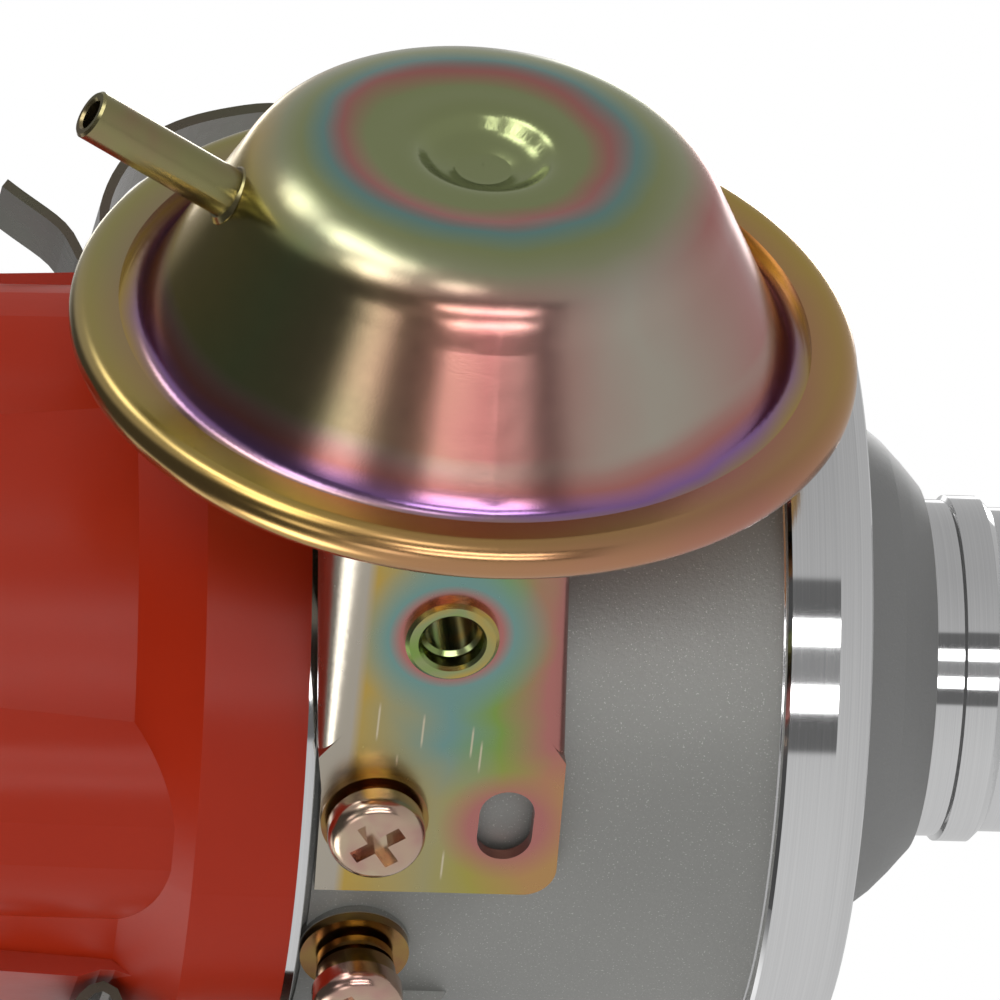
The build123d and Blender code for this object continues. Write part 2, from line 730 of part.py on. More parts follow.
with BuildPart() as rotor_blade:
    with BuildSketch(Plane.XY.offset(BLADE_Z)):
        with Locations((7.0, 0)):
            Rectangle(BLADE_L, BLADE_W)
    extrude(amount=BLADE_T)
    fillet(rotor_blade.edges().filter_by(Axis.Z).group_by(Axis.X)[-1], 1.2)
    with BuildSketch(Plane(origin=(7.0 + BLADE_L / 2, 0, BLADE_Z), x_dir=(0, 1, 0), z_dir=(-1, 0, 0))):
        with Locations((0, 1.2)):
            Rectangle(BLADE_W, 2.4)
    extrude(amount=1.2)
rotor_blade.part.label = "rotor_blade"
export_step(rotor_blade.part, "parts/rotor_blade.step")

# Dust shield between the pickup and the rotor
dust_shield = washer(Plane.XY, SHIELD_IN, SEAT_IN - AXIAL, SEAT_Z, SEAT_Z + SHIELD_T)
dust_shield.label = "dust_shield"
export_step(dust_shield, "parts/dust_shield.step")

# Distributor cap: skirt, sloped shoulder, barrel, tower bulges, clip lugs and five towers
spigot_r = SEAT_IN - SPIGOT_GAP
tower_points = [polar(TOWER_C, a) for a in TOWER_AT]
with BuildPart() as cap:
    with BuildSketch(Plane.XZ):
        with BuildLine():
            Polyline(
                (0, RIM_Z + 1.6), (spigot_r, RIM_Z + 1.6), (spigot_r, RIM_Z), (SKIRT_R, RIM_Z),
                (SKIRT_R - 0.1, SKIRT_TOP), (BARREL_R, BARREL_Z), (DECK_R, DECK_Z - 2.0),
                (DECK_R - 2.0, DECK_Z), (0, DECK_Z + 1.5), close=True,
            )
        make_face()
    revolve(axis=Axis.Z)
    with BuildSketch(Plane.XY.offset(SEAT_Z + SHIELD_T + AXIAL)):
        Circle(spigot_r)
    extrude(amount=4.0)
    # Bulges that run down the barrel under the lead towers
    with BuildSketch(Plane.XY.offset(SKIRT_TOP - 1.0)):
        with Locations(*[polar(BULGE_C, a) for a in TOWER_AT]):
            Circle(BULGE_R)
        Circle(SKIRT_R - 1.3, mode=Mode.INTERSECT)
    extrude(amount=DECK_Z - SKIRT_TOP, taper=1.0)
    # Lead towers and the taller centre tower
    with BuildSketch(Plane.XY.offset(DECK_Z - 3.0)):
        with Locations(*tower_points):
            Circle(TOWER_R)
    extrude(amount=TOWER_TOP - DECK_Z + 3.0, taper=1.0)
    with BuildSketch(Plane.XY.offset(DECK_Z - 1.0)):
        Circle(TOWER_R + 0.6)
    extrude(amount=CENTRE_TOP - DECK_Z + 1.0, taper=1.0)
    # Clip lugs with the notch that the clip snaps into
    for angle in CLIP_AT:
        with BuildSketch(upright(angle)):
            with BuildLine():
                Polyline(
                    (24, SKIRT_TOP - 2), (LUG_R, SKIRT_TOP - 2), (LUG_R, VEE_Z - 2.4),
                    (LUG_R - 0.6, VEE_Z - 0.6), (LUG_R - 0.6, VEE_Z + 0.6), (LUG_R, VEE_Z + 2.4),
                    (LUG_R - 0.4, LUG_TOP - 2.0), (LUG_R - 2.4, LUG_TOP), (24, LUG_TOP), close=True,
                )
            make_face()
        extrude(amount=LUG_W / 2, both=True)
    # Inside of the cap
    with BuildSketch(Plane.XZ):
        with BuildLine():
            Polyline(
                (0, SEAT_Z), (SEAT_IN - 2.0, SEAT_Z), (SEAT_IN - 2.0, SKIRT_TOP - 1),
                (BARREL_R - BARREL_WALL, BARREL_Z - 1), (BARREL_R - BARREL_WALL - 0.8, ROOF_Z), (0, ROOF_Z),
                close=True,
            )
        make_face()
    revolve(axis=Axis.Z, mode=Mode.SUBTRACT)
    # Bosses that carry the terminals and the carbon brush
    with BuildSketch(Plane.XY.offset(ROOF_Z - 6.0)):
        with Locations(*tower_points):
            Circle(4.2)
        Circle(5.4)
    extrude(amount=7.0)
    with BuildSketch(Plane.XY.offset(TOWER_TOP)):
        with Locations(*tower_points):
            Circle(SOCKET_R)
    extrude(amount=SOCKET_Z - TOWER_TOP, mode=Mode.SUBTRACT)
    with BuildSketch(Plane.XY.offset(CENTRE_TOP)):
        Circle(SOCKET_R)
    extrude(amount=SOCKET_Z - CENTRE_TOP, mode=Mode.SUBTRACT)
    with BuildSketch(Plane.XY.offset(TERMINAL_TIP)):
        with Locations(*tower_points):
            Circle(TERMINAL_R)
        Circle(CONTACT_R)
    extrude(amount=SOCKET_Z - TERMINAL_TIP, mode=Mode.SUBTRACT)
cap.part.label = "cap"
export_step(cap.part, "parts/cap.step")

# Brass terminals, centre contact, carbon brush and brush spring
tower_terminals = Compound(children=[
    rod(Plane((x, y, 0)), TERMINAL_R, TERMINAL_TIP, SOCKET_Z) for x, y in tower_points
])
tower_terminals.label = "tower_terminals"
export_step(tower_terminals, "parts/tower_terminals.step")

contact_low = SOCKET_Z - 5.0
centre_contact = rod(Plane.XY, CONTACT_R, contact_low, SOCKET_Z)
centre_contact.label = "centre_contact"
export_step(centre_contact, "parts/centre_contact.step")

carbon_brush = rod(Plane.XY, BRUSH_R, BLADE_Z + BLADE_T + 0.15, ROOF_Z)
carbon_brush.label = "carbon_brush"
export_step(carbon_brush, "parts/carbon_brush.step")

with BuildPart() as brush_spring:
    with BuildLine():
        brush_path = Helix(
            pitch=1.9, height=contact_low - ROOF_Z - 0.5, radius=1.9, center=(0, 0, ROOF_Z + 0.25),
        )
    with BuildSketch(Plane(origin=brush_path @ 0, z_dir=brush_path % 0)):
        RegularPolygon(0.25, 6)
    sweep(path=brush_path)
brush_spring.part.label = "brush_spring"
export_step(brush_spring.part, "parts/brush_spring.step")

# Spring clips: loop on the hinge pin, outward bow, vee in the lug notch and thumb tab
loop_r = HINGE_PIN + 0.06
clip_path = [
    (HINGE_R, HINGE_Z - HINGE_PIN - 0.5), (HINGE_R + 3.9, HINGE_Z - 0.8), (HINGE_R + 7.8, HINGE_Z + 1.8),
    (HINGE_R + 9.8, HINGE_Z + 5.0), (HINGE_R + 10.6, HINGE_Z + 9.0), (HINGE_R + 10.2, HINGE_Z + 12.0),
    (HINGE_R + 9.0, HINGE_Z + 16.3), (LUG_R + 11.5, VEE_Z - 2.3), (LUG_R + 7.8, VEE_Z),
    (LUG_R + 4.0, VEE_Z + 0.1), (LUG_R + 1.3, VEE_Z - 1.0), (LUG_R + 0.3, VEE_Z),
    (LUG_R + 1.2, VEE_Z + 1.8), (LUG_R + 4.0, VEE_Z + 3.4), (LUG_R + 6.1, VEE_Z + 5.8),
    (LUG_R + 8.2, VEE_Z + 8.7),
]
for name, angle in (("spring_clip_a", CLIP_AT[0]), ("spring_clip_b", CLIP_AT[1])):
    with BuildPart() as spring_clip:
        with BuildSketch(upright(angle)):
            with BuildLine():
                bow = Spline(clip_path, mode=Mode.PRIVATE)
                strip = Polyline([bow @ (i / CLIP_STEPS) for i in range(CLIP_STEPS + 1)])
            trace(strip, CLIP_T)
            with Locations((HINGE_R, HINGE_Z)):
                Circle(loop_r + CLIP_T)
                Circle(loop_r, mode=Mode.SUBTRACT)
        extrude(amount=CLIP_W / 2, both=True)
    spring_clip.part.label = name
    export_step(spring_clip.part, f"parts/{name}.step")

clip_pins = Compound(children=[
    rod(Plane(origin=(*polar(HINGE_R, a), HINGE_Z), z_dir=(*polar(1, a + 90), 0)), HINGE_PIN, -8.0, 8.0)
    for a in CLIP_AT
])
clip_pins.label = "clip_pins"
export_step(clip_pins, "parts/clip_pins.step")

# Vacuum bracket: flat lower plate, upper part with edges that bend back, and the seat under the canister
outer_x = BRACKET_X + BRACKET_T


def channel(y, low, high, bend, wing):
    """Section across the upper bracket at height y: its cap side bends by bend, then runs wing."""
    edge = BRACKET_T + 0.3
    back = outer_x - bend - wing
    with BuildSketch(Plane.XZ.offset(-y)) as section:
        with BuildLine():
            Polyline((back, high - BRACKET_T), (back, high), (outer_x - bend, high))
            CenterArc((outer_x - bend, high - bend), bend, 90, -90)
            Line((outer_x, high - bend), (outer_x, low + edge))
            CenterArc((outer_x - edge, low + edge), edge, 0, -90)
            Polyline(
                (outer_x - edge, low), (outer_x - edge - wing, low),
                (outer_x - edge - wing, low + BRACKET_T), (outer_x - edge, low + BRACKET_T),
            )
            CenterArc((outer_x - edge, low + edge), edge - BRACKET_T, -90, 90)
            Line((BRACKET_X, low + edge), (BRACKET_X, high - bend))
            CenterArc((outer_x - bend, high - bend), bend - BRACKET_T, 0, 90)
            Line((outer_x - bend, high - BRACKET_T), (back, high - BRACKET_T))
        make_face()
    return section.sketch


with BuildPart() as vacuum_bracket:
    add(channel(BEND_Y, *PLATE_MID, 1.6, 0.2))
    add(channel(BRACKET_Y1, *PLATE_HIGH, 4.6, 2.6))
    loft(ruled=True)
    with BuildSketch(bracket_plane) as lower_plate:
        with BuildLine():
            Polyline(
                (BRACKET_Y0, PLATE_LOW[0]), (BEND_Y, PLATE_MID[0]), (BEND_Y + 3, PLATE_MID[0] + 2.0),
                (BEND_Y + 3, PLATE_MID[1] - 2.2), (BEND_Y, PLATE_MID[1]), (BEND_Y - 3.2, RIM_CLEAR),
                (BRACKET_Y0, PLATE_LOW[1]), close=True,
            )
        make_face()
        fillet(lower_plate.vertices().group_by(Axis.Y)[0], 2.6)
    extrude(amount=BRACKET_T)
    with BuildSketch(Plane.XZ.offset(-BRACKET_Y1)):
        with Locations((CAN_X, CAN_Z)):
            Circle(SEAT_DISC_R)
        with Locations(((CAN_X + BRACKET_X + 0.2) / 2, (PLATE_HIGH[0] + PLATE_HIGH[1]) / 2)):
            Rectangle(BRACKET_X + 0.2 - CAN_X, 16)
        with Locations((CAN_X, CAN_Z)):
            Circle(CAN_HOLE_R + 0.7, mode=Mode.SUBTRACT)
    extrude(amount=BRACKET_T)
    with BuildSketch(bracket_plane):
        with Locations(SCREW_1):
            Circle(SCREW_R + 0.2)
        with Locations(EYELET):
            Circle(EYELET_R)
        with Locations(SLOT):
            SlotOverall(SLOT_L, SLOT_W)
    extrude(amount=BRACKET_T + 1, mode=Mode.SUBTRACT)
vacuum_bracket.part.label = "vacuum_bracket"
export_step(vacuum_bracket.part, "parts/vacuum_bracket.step")

# Threaded eyelet riveted into the bracket
with BuildPart() as bracket_eyelet:
    with BuildSketch(Plane(origin=(0, *EYELET), x_dir=(1, 0, 0), z_dir=(0, 0, 1))):
        with BuildLine():
            Polyline(
                (BRACKET_X - EYELET_L, EYELET_BORE), (BRACKET_X + 0.2, EYELET_BORE),
                (BRACKET_X + 0.5, EYELET_BORE + 0.35), (outer_x + 0.6, EYELET_BORE + 0.35),
                (outer_x + 0.9, EYELET_BORE + 0.6), (outer_x + 0.9, EYELET_R + 0.3),
                (outer_x + 0.6, EYELET_R + 0.6), (outer_x, EYELET_R + 0.6), (outer_x, EYELET_R),
                (BRACKET_X, EYELET_R), (BRACKET_X, EYELET_R + 0.9), (BRACKET_X - EYELET_L, EYELET_R + 0.9),
                close=True,
            )
        make_face()
    revolve(axis=Axis((0, *EYELET), (1, 0, 0)))
bracket_eyelet.part.label = "bracket_eyelet"
export_step(bracket_eyelet.part, "parts/bracket_eyelet.step")

# Bracket screw, side screw and their washers
bracket_head = Plane(origin=(outer_x, *SCREW_1), x_dir=(0, 1, 0), z_dir=(1, 0, 0))
bracket_screw = pan_screw(bracket_head, SCREW_STACK, 3.9, 2.4, SCREW_STACK + BRACKET_T + 4.2)
bracket_screw.label = "bracket_screw"
export_step(bracket_screw, "parts/bracket_screw.step")

side_screw = pan_screw(side_plane, SIDE_STACK, 3.65, 2.4, SIDE_STACK + 3.4)
side_screw.label = "side_screw"
export_step(side_screw, "parts/side_screw.step")

screw_washers = Compound(children=[
    washer(bracket_head, SCREW_R, 4.3, 0, 0.7),
    washer(bracket_head, SCREW_R, 3.3, 0.7, SCREW_STACK),
    washer(side_plane, SCREW_R, 4.4, 0, 0.8),
    washer(side_plane, SCREW_R, 3.1, 1.3, 2.2),
    washer(side_plane, SCREW_R, 3.2, 2.7, SIDE_STACK),
])
screw_washers.label = "screw_washers"
export_step(screw_washers, "parts/screw_washers.step")

# Canister back shell with the edge rolled over the front shell
roll = CAN_R - ROLL_C
can_base = Plane(origin=(CAN_X, CAN_Y, CAN_Z), x_dir=(1, 0, 0), z_dir=(0, 1, 0))
can_section = Plane(origin=can_base.origin, x_dir=can_base.x_dir, z_dir=-can_base.y_dir)
can_axis = Axis(can_base.origin, can_base.z_dir)
with BuildPart() as canister_back_shell:
    with BuildSketch(can_section):
        seat_h = BRACKET_Y1 - CAN_Y
        with BuildLine():
            Polyline((CAN_HOLE_R, seat_h), (CAN_SEAT_R, seat_h), (ROLL_C - 3.5, -roll), (ROLL_C, -roll))
            CenterArc((ROLL_C, 0), roll, -90, 180)
            Polyline((ROLL_C, roll), (LIP_R, roll), (LIP_R, roll - SHELL_T), (ROLL_C, roll - SHELL_T))
            CenterArc((ROLL_C, 0), roll - SHELL_T, -90, 180)
            Polyline(
                (ROLL_C, SHELL_T - roll), (ROLL_C - 3.1, SHELL_T - roll),
                (CAN_SEAT_R + 0.3, seat_h + SHELL_T), (CAN_HOLE_R, seat_h + SHELL_T), (CAN_HOLE_R, seat_h),
            )
        make_face()
    revolve(axis=can_axis)
canister_back_shell.part.label = "canister_back_shell"
export_step(canister_back_shell.part, "parts/canister_back_shell.step")

# Domed front shell: foot, wall, round shoulder, sunken ring and centre dimple
lip_h = roll - SHELL_T
foot = [(26.9, lip_h), (25.7, lip_h + 0.35), (24.9, lip_h + 1.6)]
crown = [
    (SHOULDER_R, SHOULDER_H), (18.5, 14.6), (16.1, TOP_H - 1.4), (13.2, TOP_H - 0.3), (11.2, TOP_H),
    (10.0, TOP_H - 0.2), (8.6, TOP_H - 0.35), (6.6, TOP_H - 0.3), (5.4, TOP_H - 0.6),
    (4.2, TOP_H - 1.5), (2.4, TOP_H - 2.1), (0, TOP_H - 2.25),
]
wall_way = (crown[0][0] - foot[-1][0], crown[0][1] - foot[-1][1])
nipple_plane = Plane(
    origin=(CAN_X, CAN_Y + NIPPLE_H, CAN_Z + NIPPLE_OUT), x_dir=(1, 0, 0),
    z_dir=(0, math.cos(math.radians(NIPPLE_TILT)), math.sin(math.radians(NIPPLE_TILT))),
)
with BuildPart() as canister_front_shell:
    with BuildSketch(can_section):
        foot_in = inset(foot, DOME_T)
        foot_in[0] = (foot[0][0], lip_h - DOME_T)
        crown_in = inset(crown, DOME_T)
        crown_in[-1] = (0, crown[-1][1] - DOME_T)
        with BuildLine():
            Line((ROLL_C, lip_h), foot[0])
            Spline(foot, tangents=((-1, 0), wall_way))
            Line(foot[-1], crown[0])
            Spline(crown, tangents=(wall_way, (-1, 0)))
            Line(crown[-1], crown_in[-1])
            Spline(crown_in[::-1], tangents=((1, 0), (-wall_way[0], -wall_way[1])))
            Line(crown_in[0], foot_in[-1])
            Spline(foot_in[::-1], tangents=((-wall_way[0], -wall_way[1]), (1, 0)))
            Polyline(foot_in[0], (ROLL_C, lip_h - DOME_T), (ROLL_C, lip_h))
        make_face()
    revolve(axis=can_axis)
    with BuildSketch(nipple_plane.offset(-4)):
        Circle(NIPPLE_NECK + RUN)
    extrude(amount=8, mode=Mode.SUBTRACT)
canister_front_shell.part.label = "canister_front_shell"
export_step(canister_front_shell.part, "parts/canister_front_shell.step")

# Vacuum nipple with the bead that seats on the dome
with BuildPart() as vacuum_nipple:
    add(lathe([
        (NIPPLE_BORE, -2.0), (NIPPLE_NECK, -2.0), (NIPPLE_NECK, -BEAD_T / 2), (BEAD_R, -BEAD_T / 2),
        (BEAD_R, BEAD_T / 4), (BEAD_R - BEAD_T / 4, BEAD_T / 2), (NIPPLE_R, BEAD_T / 2),
        (NIPPLE_R, NIPPLE_L - 0.2), (NIPPLE_R - 0.2, NIPPLE_L), (NIPPLE_BORE + 0.2, NIPPLE_L),
        (NIPPLE_BORE, NIPPLE_L - 0.2),
    ], nipple_plane))
    add(canister_front_shell.part, mode=Mode.SUBTRACT)
vacuum_nipple.part.label = "vacuum_nipple"
export_step(vacuum_nipple.part, "parts/vacuum_nipple.step")

# Diaphragm: clamped rim, moving centre, cup washers, spring and pull rod
rubber_low = SHELL_T - roll
rubber_high = lip_h - DOME_T
cup_top = rubber_high + CUP_T
diaphragm_rim = washer(can_base, RUBBER_IN, ROLL_C, rubber_low, rubber_high)
diaphragm_rim.label = "diaphragm_rim"
export_step(diaphragm_rim, "parts/diaphragm_rim.step")

diaphragm = washer(can_base, STUD_R, DIAPHRAGM_R, rubber_low, rubber_high)
diaphragm.label = "diaphragm"
export_step(diaphragm, "parts/diaphragm.step")

diaphragm_cups = Compound(children=[
    washer(can_base, STUD_R, CUP_R - 1.0, rubber_low - CUP_T, rubber_low),
    lathe([
        (STUD_R, rubber_high), (CUP_R, rubber_high), (CUP_R, rubber_high + 2.0),
        (CUP_R - CUP_T, rubber_high + 2.0), (CUP_R - CUP_T, cup_top), (STUD_R, cup_top),
    ], can_base),
])
diaphragm_cups.label = "diaphragm_cups"
export_step(diaphragm_cups, "parts/diaphragm_cups.step")

rod_top = CAN_Y + rubber_low - CUP_T
with BuildPart() as pull_rod:
    with BuildSketch(Plane.XY.offset(CAN_Z - 0.5)):
        with Locations((ROD_X, (ROD_Y + rod_top) / 2)):
            Rectangle(5.0, rod_top - ROD_Y)
        with Locations(pin_at):
            Circle(4.0)
            Circle(ROD_PIN + 0.1, mode=Mode.SUBTRACT)
    extrude(amount=1.0)
    with BuildSketch(Plane.XZ.offset(-rod_top)):
        with Locations((CAN_X, CAN_Z)):
            Circle(STUD_R)
    extrude(amount=rod_top - CAN_Y - cup_top)
    with BuildSketch(Plane.XZ.offset(-CAN_Y - cup_top)):
        with Locations((CAN_X, CAN_Z)):
            Circle(3.0)
    extrude(amount=-0.8)
pull_rod.part.label = "pull_rod"
export_step(pull_rod.part, "parts/pull_rod.step")

with BuildPart() as diaphragm_spring:
    with BuildLine():
        coil_path = Helix(pitch=3.0, height=12.0, radius=8.0)
    with BuildSketch(Plane(origin=coil_path @ 0, z_dir=coil_path % 0)):
        RegularPolygon(0.55, 6)
    sweep(path=coil_path)
coil = diaphragm_spring.part.rotate(Axis.X, -90)
coil = coil.moved(Location((CAN_X, CAN_Y + cup_top + 0.5, CAN_Z)))
coil.label = "diaphragm_spring"
export_step(coil, "parts/diaphragm_spring.step")
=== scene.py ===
import bpy, bmesh, math
from mathutils import Matrix, Vector


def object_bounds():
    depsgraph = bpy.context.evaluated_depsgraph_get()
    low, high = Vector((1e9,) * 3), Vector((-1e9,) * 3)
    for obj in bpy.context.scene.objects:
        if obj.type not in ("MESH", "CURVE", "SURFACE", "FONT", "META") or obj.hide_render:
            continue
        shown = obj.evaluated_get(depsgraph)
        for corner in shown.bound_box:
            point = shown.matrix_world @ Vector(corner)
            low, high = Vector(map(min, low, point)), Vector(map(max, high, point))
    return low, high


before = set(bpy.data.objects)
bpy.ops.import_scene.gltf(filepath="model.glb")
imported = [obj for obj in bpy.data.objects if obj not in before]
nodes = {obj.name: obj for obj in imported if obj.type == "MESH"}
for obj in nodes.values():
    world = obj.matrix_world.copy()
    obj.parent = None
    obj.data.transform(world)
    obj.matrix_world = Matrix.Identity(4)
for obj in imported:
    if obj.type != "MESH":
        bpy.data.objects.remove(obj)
cad_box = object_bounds()
MM = 0.001

# Camera, fitted to the photograph: its own axes, its place along them in mm, its lens and the fit's origin
RIGHT = Vector((0.08534143, 0.09861936, -0.99145906))
UP = Vector((-0.58542527, 0.81016390, 0.03019471))
TOWARD = Vector((0.80622211, 0.57784832, 0.12687481))
CAMERA_AT = (-40.693, 14.093, 800.0)
LENS = 345.77
FIT_ORIGIN = Vector((0, 0, -0.9))
cam_data = bpy.data.cameras.new("camera")
cam_data.type = "PERSP"
cam_data.sensor_width = 36.0
cam_data.lens = LENS
cam_data.clip_end = 10.0
cam = bpy.data.objects.new("camera", cam_data)
bpy.context.scene.collection.objects.link(cam)
place = Matrix((RIGHT, UP, TOWARD)).transposed().to_4x4()
place.translation = (RIGHT * CAMERA_AT[0] + UP * CAMERA_AT[1] + TOWARD * CAMERA_AT[2] + FIT_ORIGIN) * MM
cam.matrix_world = place
bpy.context.scene.camera = cam
bpy.context.scene.view_settings.view_transform = "Standard"


class Graph:
    """Short calls that build a node tree."""

    def __init__(self, tree):
        self.tree = tree
        self.tree.nodes.clear()

    def node(self, kind, inputs=None, **props):
        n = self.tree.nodes.new(kind)
        for key, value in props.items():
            setattr(n, key, value)
        for key, value in (inputs or {}).items():
            self.put(n.inputs[key], value)
        return n

    def put(self, socket, value):
        if isinstance(value, bpy.types.NodeSocket):
            self.tree.links.new(value, socket)
        elif isinstance(value, (tuple, list)) and len(value) == 3 and socket.type == "RGBA":
            socket.default_value = (*value, 1.0)
        else:
            socket.default_value = value

    def math(self, op, a, b=0.0):
        return self.node("ShaderNodeMath", {0: a, 1: b}, operation=op).outputs[0]

    def band(self, value, low, high):
        """0 below low, 1 above high, straight between."""
        return self.node("ShaderNodeMapRange", {0: value, 1: low, 2: high, 3: 0.0, 4: 1.0}).outputs[0]

    def until(self, value, low, high):
        """1 below low, 0 above high, straight between."""
        return self.math("SUBTRACT", 1.0, self.band(value, low, high))

    def inside(self, value, low, high, soft):
        """1 between low and high, with soft edges outside them."""
        return self.math("MULTIPLY", self.band(value, low - soft, low), self.until(value, high, high + soft))

    def far(self, a, b):
        """Length of the offset a, b."""
        return self.math("SQRT", self.math("ADD", self.math("MULTIPLY", a, a), self.math("MULTIPLY", b, b)))

    def blend(self, kind, factor, a, b):
        n = self.node("ShaderNodeMix", data_type=kind)
        self.put(n.inputs["Factor"], factor)
        self.put(n.inputs["A"], a)
        self.put(n.inputs["B"], b)
        return n.outputs["Result"]

    def mix(self, factor, a, b):
        return self.blend("RGBA", factor, a, b)

    def mixf(self, factor, a, b):
        return self.blend("FLOAT", factor, a, b)

    def noise(self, where, scale, detail=2.0, rough=0.5, distortion=0.0):
        n = self.node("ShaderNodeTexNoise", {"Scale": scale, "Detail": detail, "Roughness": rough,
                                             "Distortion": distortion})
        self.put(n.inputs["Vector"], where)
        return n.outputs[0]

    def ramp(self, factor, stops):
        n = self.node("ShaderNodeValToRGB", {0: factor})
        ends = n.color_ramp.elements
        while len(ends) < len(stops):
            ends.new(0.5)
        for stop, (at, colour) in zip(ends, stops):
            stop.position = at
            stop.color = (*colour, 1.0)
        return n.outputs[0]

    def stretch(self, where, scale):
        return self.node("ShaderNodeVectorMath", {0: where, 1: scale}, operation="MULTIPLY").outputs[0]

    def bump(self, height, strength, distance):
        n = self.node("ShaderNodeBump", {"Height": height, "Strength": strength, "Distance": distance})
        return n.outputs[0]

    def here(self):
        """Object position in millimetres and its X, Y, Z."""
        coords = self.node("ShaderNodeTexCoord").outputs["Object"]
        p = self.stretch(coords, (1000.0, 1000.0, 1000.0))
        x, y, z = self.node("ShaderNodeSeparateXYZ", {0: p}).outputs
        return p, x, y, z


def srgb(r, g, b):
    """Linear colour of an sRGB colour given in 0 to 255."""
    out = []
    for c in (r, g, b):
        c /= 255.0
        out.append(c / 12.92 if c <= 0.04045 else ((c + 0.055) / 1.055) ** 2.4)
    return tuple(out)


def material(name):
    mat = bpy.data.materials.new(name)
    mat.use_nodes = True
    g = Graph(mat.node_tree)
    bsdf = g.node("ShaderNodeBsdfPrincipled")
    out = g.node("ShaderNodeOutputMaterial")
    g.tree.links.new(bsdf.outputs[0], out.inputs[0])
    return mat, g, bsdf


def dress(mat, *names):
    for name in names:
        obj = nodes[name]
        if not obj.material_slots:
            obj.data.materials.append(mat)
        for s in obj.material_slots:
            s.material = mat


# Heights and radii in mm where the housing's finish changes, each edge EDGE wide
EDGE = 0.05
BAND_Z = (14.15, 21.35)
BAND_R = 31.2
CONE_TOP = 14.1
COLLAR_TOP = 5.85
RIM_Z = 58.75
RIM_R = 29.0


# Housing: blasted bowl, machined band, dark cone, machined collar and shank
def housing_material():
    mat, g, b = material("cast_aluminium_finishes")
    p, x, y, z = g.here()
    radius = g.far(x, y)
    band = g.math("MULTIPLY", g.inside(z, *BAND_Z, EDGE), g.band(radius, BAND_R, BAND_R + EDGE))
    low = g.until(z, COLLAR_TOP, COLLAR_TOP + EDGE)
    rim = g.math("MULTIPLY", g.band(z, RIM_Z, RIM_Z + EDGE), g.band(radius, RIM_R, RIM_R + EDGE))
    bright = g.math("MAXIMUM", g.math("MAXIMUM", band, low), rim)
    cone = g.math("MULTIPLY", g.until(z, CONE_TOP, CONE_TOP + 2 * EDGE), g.math("SUBTRACT", 1.0, low))
    grain = g.noise(p, 3.2, 4.0, 0.7)
    cloud = g.noise(p, 0.06, 3.0, 0.5)
    speck = g.band(g.noise(p, 6.5, 1.0, 0.5), 0.66, 0.74)
    bowl = g.mix(cloud, srgb(146, 146, 143), srgb(158, 158, 154))
    bowl = g.mix(g.math("MULTIPLY", grain, 0.35), bowl, srgb(120, 120, 118))
    bowl = g.mix(g.math("MULTIPLY", speck, 0.5), bowl, srgb(215, 215, 210))
    colour = g.mix(g.math("MULTIPLY", cone, 0.8), bowl, srgb(146, 146, 146))
    turned = g.noise(g.stretch(p, (0.02, 0.02, 9.0)), 1.0, 3.0, 0.6)
    metal = g.mix(turned, srgb(205, 205, 206), srgb(228, 228, 228))
    colour = g.mix(bright, colour, metal)
    g.put(b.inputs["Base Color"], colour)
    g.put(b.inputs["Metallic"], g.mixf(bright, 0.75, 1.0))
    g.put(b.inputs["Roughness"], g.mixf(bright, 0.52, g.mixf(turned, 0.05, 0.09)))
    blasted = g.bump(grain, 0.35, 0.0001)
    lines = g.bump(turned, 0.05, 0.00002)
    normal = g.node("ShaderNodeMix", data_type="VECTOR")
    g.put(normal.inputs["Factor"], bright)
    g.put(normal.inputs[4], blasted)
    g.put(normal.inputs[5], lines)
    g.put(b.inputs["Normal"], normal.outputs[1])
    return mat


# Cap: semi-gloss red moulding
def cap_material():
    mat, g, b = material("red_moulding")
    p, x, y, z = g.here()
    cloud = g.noise(p, 0.05, 3.0, 0.5)
    colour = g.mix(cloud, srgb(162, 36, 8), srgb(172, 44, 12))
    colour = g.mix(g.math("MULTIPLY", g.noise(p, 2.5, 3.0, 0.6), 0.12), colour, srgb(138, 30, 8))
    g.put(b.inputs["Base Color"], colour)
    g.put(b.inputs["Roughness"], g.mixf(g.noise(p, 0.4, 3.0, 0.5), 0.30, 0.38))
    g.put(b.inputs["Specular IOR Level"], 0.24)
    peel = g.noise(p, 1.1, 2.0, 0.5)
    g.put(b.inputs["Normal"], g.bump(peel, 0.05, 0.0002))
    return mat


def plated(name, colour_of, rough=(0.16, 0.24)):
    """Yellow zinc plating whose colour runs over the surface: colour_of(g, p, x, y, z)."""
    mat, g, b = material(name)
    p, x, y, z = g.here()
    g.put(b.inputs["Base Color"], colour_of(g, p, x, y, z))
    b.inputs["Metallic"].default_value = 1.0
    g.put(b.inputs["Roughness"], g.mixf(g.noise(p, 0.8, 3.0, 0.6), *rough))
    fine = g.noise(p, 5.0, 3.0, 0.6)
    g.put(b.inputs["Normal"], g.bump(fine, 0.06, 0.00004))
    return mat


# Colours that yellow zinc plating takes on; PALE also paints highlights on the bracket's bend and the
# canister's shoulder
OLIVE = srgb(150, 158, 112)
GOLD = srgb(190, 160, 84)
PINK = srgb(180, 118, 112)
VIOLET = srgb(150, 112, 168)
TEAL = srgb(120, 156, 150)
GREEN = srgb(132, 160, 84)
PALE = srgb(180, 172, 158)
BARE = srgb(220, 206, 180)

